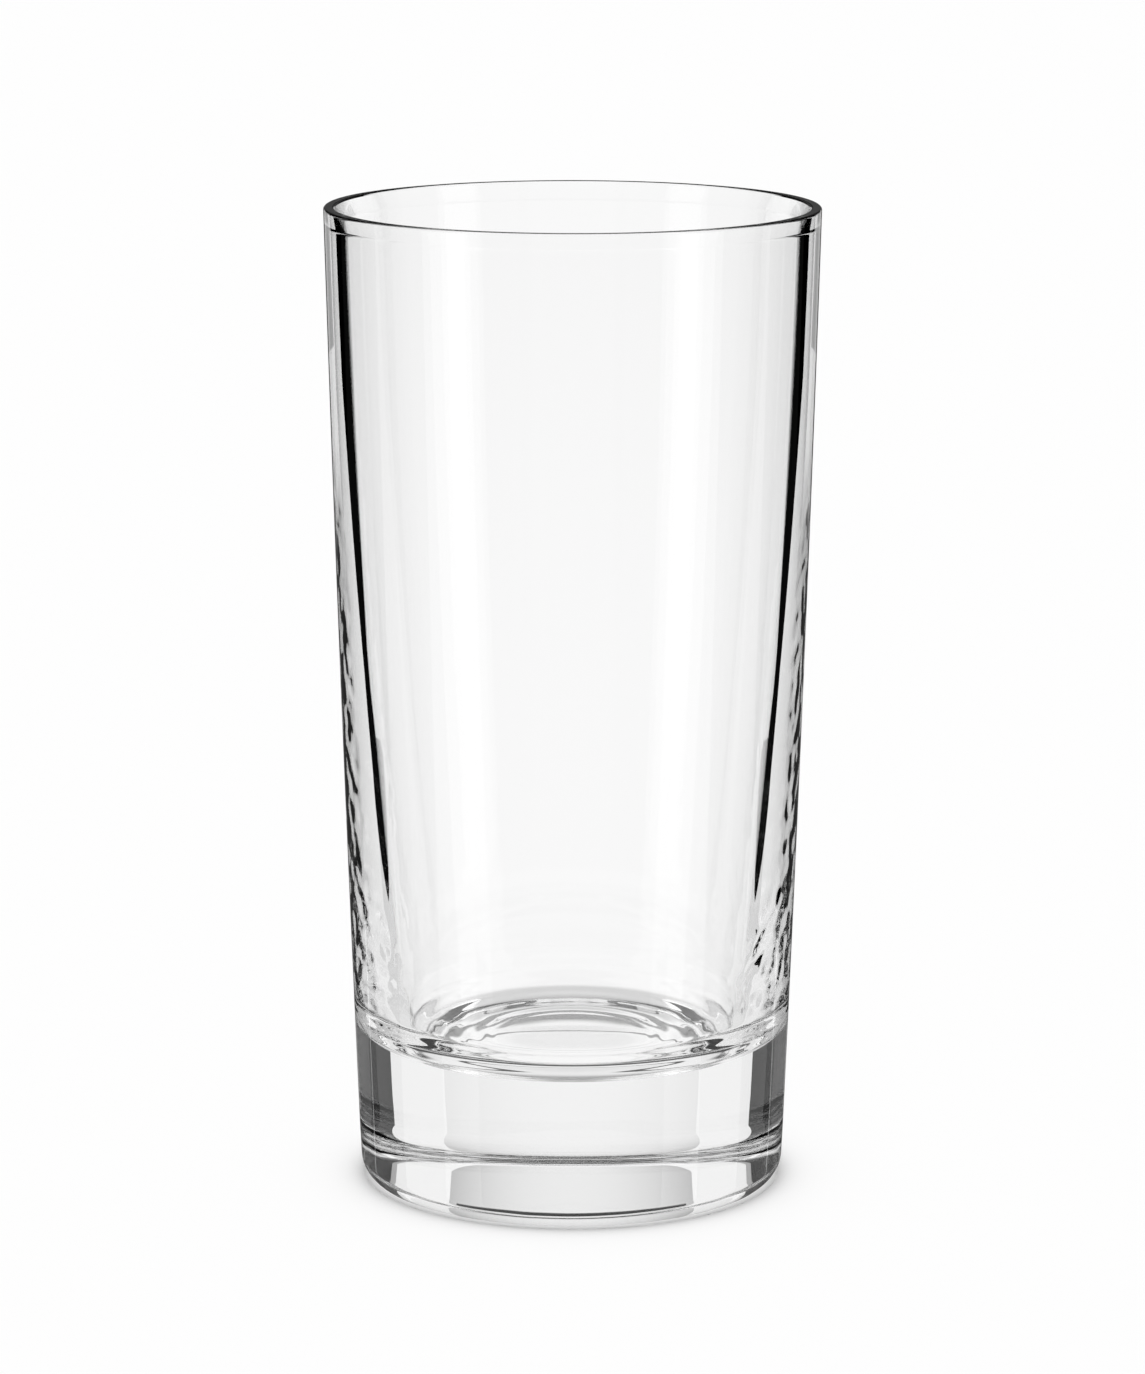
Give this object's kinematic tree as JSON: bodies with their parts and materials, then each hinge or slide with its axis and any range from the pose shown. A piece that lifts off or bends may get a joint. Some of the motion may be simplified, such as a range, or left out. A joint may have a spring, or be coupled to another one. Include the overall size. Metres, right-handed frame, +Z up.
{
  "type": "highball tumbler",
  "caption": "Clear straight-sided drinking glass, slightly wider at its narrow lip, which is bevelled inside, with a wall that thickens downwards into a heavy solid foot.",
  "frame": {"origin": "centre of the underside, on the plane the glass stands on", "axes": "+Z up the axis of the glass; the shape is turned, so +X and +Y are alike"},
  "size_m": [0.075, 0.075, 0.1504],
  "materials": {
    "clear_glass": "clear, fire-polished, glossy"
  },
  "bodies": {
    "root": {"glass_tumbler": "clear_glass"}
  },
  "joints": []
}
